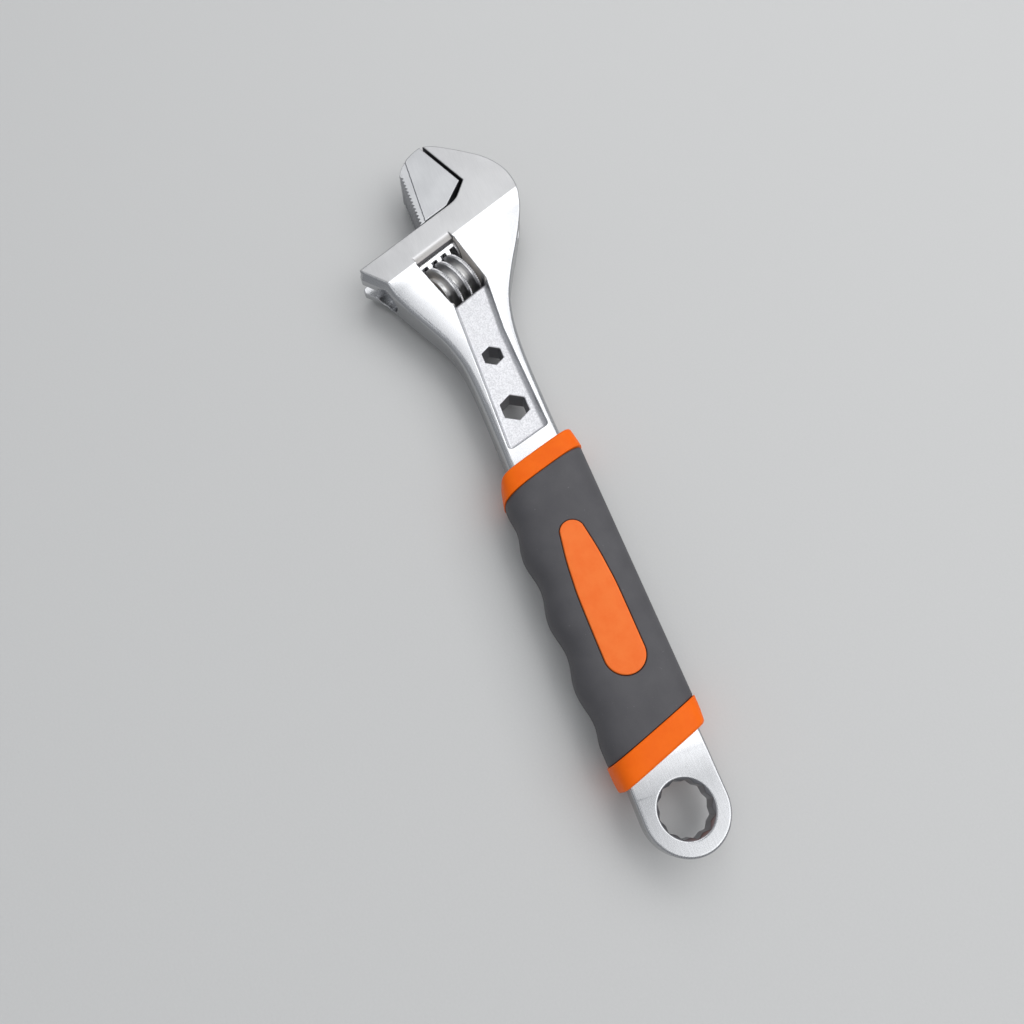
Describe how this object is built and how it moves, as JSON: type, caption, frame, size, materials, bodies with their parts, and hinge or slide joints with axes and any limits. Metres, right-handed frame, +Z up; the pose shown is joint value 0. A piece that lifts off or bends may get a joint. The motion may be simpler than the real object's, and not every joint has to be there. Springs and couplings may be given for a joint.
{
  "type": "adjustable wrench",
  "caption": "Adjustable wrench with a reversible sliding jaw, a knurled worm, a padded two-colour grip and a twelve-point ring end.",
  "frame": {"origin": "middle of the underside of the whole wrench's box, as it lies flat", "axes": "+X along the handle from the ring to the jaws, +Y to the side on which the jaw slides open, +Z up"},
  "size_m": [0.3014, 0.0764, 0.0236],
  "materials": {
    "chromed_steel": "satin chrome plate",
    "dark_steel": "plain turned steel",
    "orange_plastic": "fine matt moulding",
    "grey_rubber": "fine matt grained moulding"
  },
  "bodies": {
    "frame": {"body_forging": "chromed_steel", "worm_pin": "dark_steel", "worm_spring": "dark_steel", "grip_core": "orange_plastic", "grip_sleeve": "grey_rubber", "front_collar": "orange_plastic", "rear_collar": "orange_plastic", "inlay_top": "orange_plastic", "inlay_bottom": "orange_plastic"},
    "jaw": {"movable_jaw": "chromed_steel"},
    "worm": {"adjusting_worm": "chromed_steel"}
  },
  "joints": [
    {"name": "worm_turn", "type": "hinge", "parent": "frame", "child": "worm", "pos_m": [0.08341, 0.00283, 0.0118], "axis": [0.4067, -0.9135, 0], "range_deg": [-71.3, 2281.3]},
    {"name": "jaw_slide", "type": "slide", "parent": "frame", "child": "jaw", "axis": [-0.4067, 0.9135, 0], "range_m": [-0.001, 0.032]}
  ],
  "couplings": [
    {"joint": "worm_turn", "follows": "jaw_slide", "rad_per_m": 1244.2}
  ]
}
